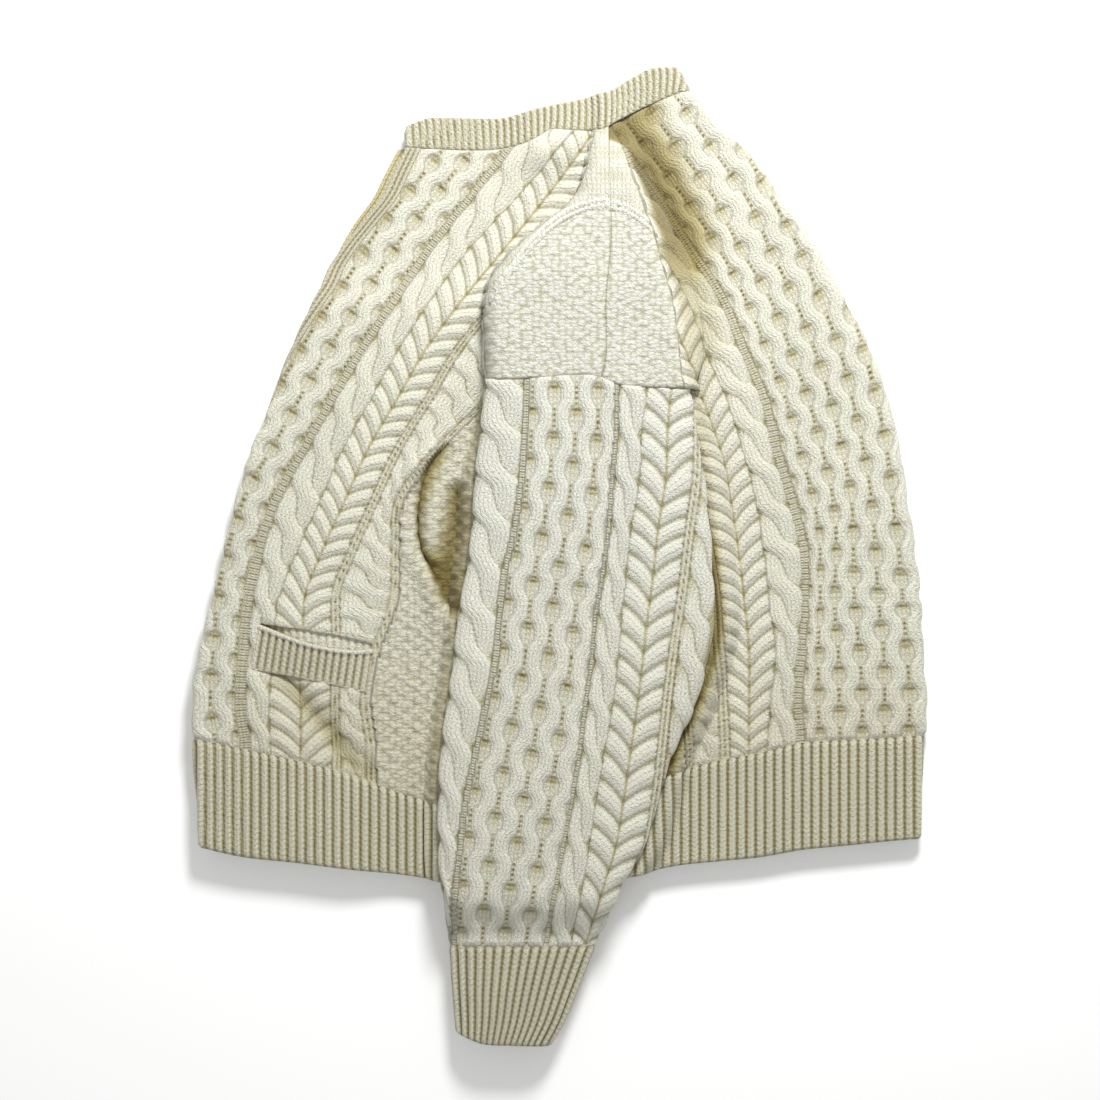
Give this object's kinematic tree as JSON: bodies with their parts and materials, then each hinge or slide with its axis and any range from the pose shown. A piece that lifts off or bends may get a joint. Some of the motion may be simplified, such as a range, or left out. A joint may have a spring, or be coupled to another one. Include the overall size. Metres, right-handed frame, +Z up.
{
  "type": "aran cardigan",
  "caption": "Cream cable-knit wool cardigan lying flat on its side, a sleeve laid down the middle, ribbed collar, cuffs, hem and a set-in pocket.",
  "frame": {"origin": "centre of the bounding box at the surface the garment lies on", "axes": "+Y from the hem to the neck, +Z up off the surface, +X from the front opening to the centre back fold"},
  "size_m": [0.5803, 0.7775, 0.0457],
  "materials": {
    "cable_wool": "matte cabled wool knit",
    "ribbed_wool": "matte ribbed wool knit"
  },
  "bodies": {
    "root": {"front_left": "cable_wool", "front_right": "cable_wool", "back": "cable_wool", "sleeve_left": "cable_wool", "sleeve_right": "cable_wool", "cuff_left": "ribbed_wool", "cuff_right": "ribbed_wool", "hem_front_left": "ribbed_wool", "hem_front_right": "ribbed_wool", "hem_back": "ribbed_wool", "collar": "ribbed_wool", "band_left": "ribbed_wool", "band_right": "ribbed_wool", "pocket_border_left": "ribbed_wool", "pocket_lining_left": "cable_wool"}
  },
  "joints": []
}
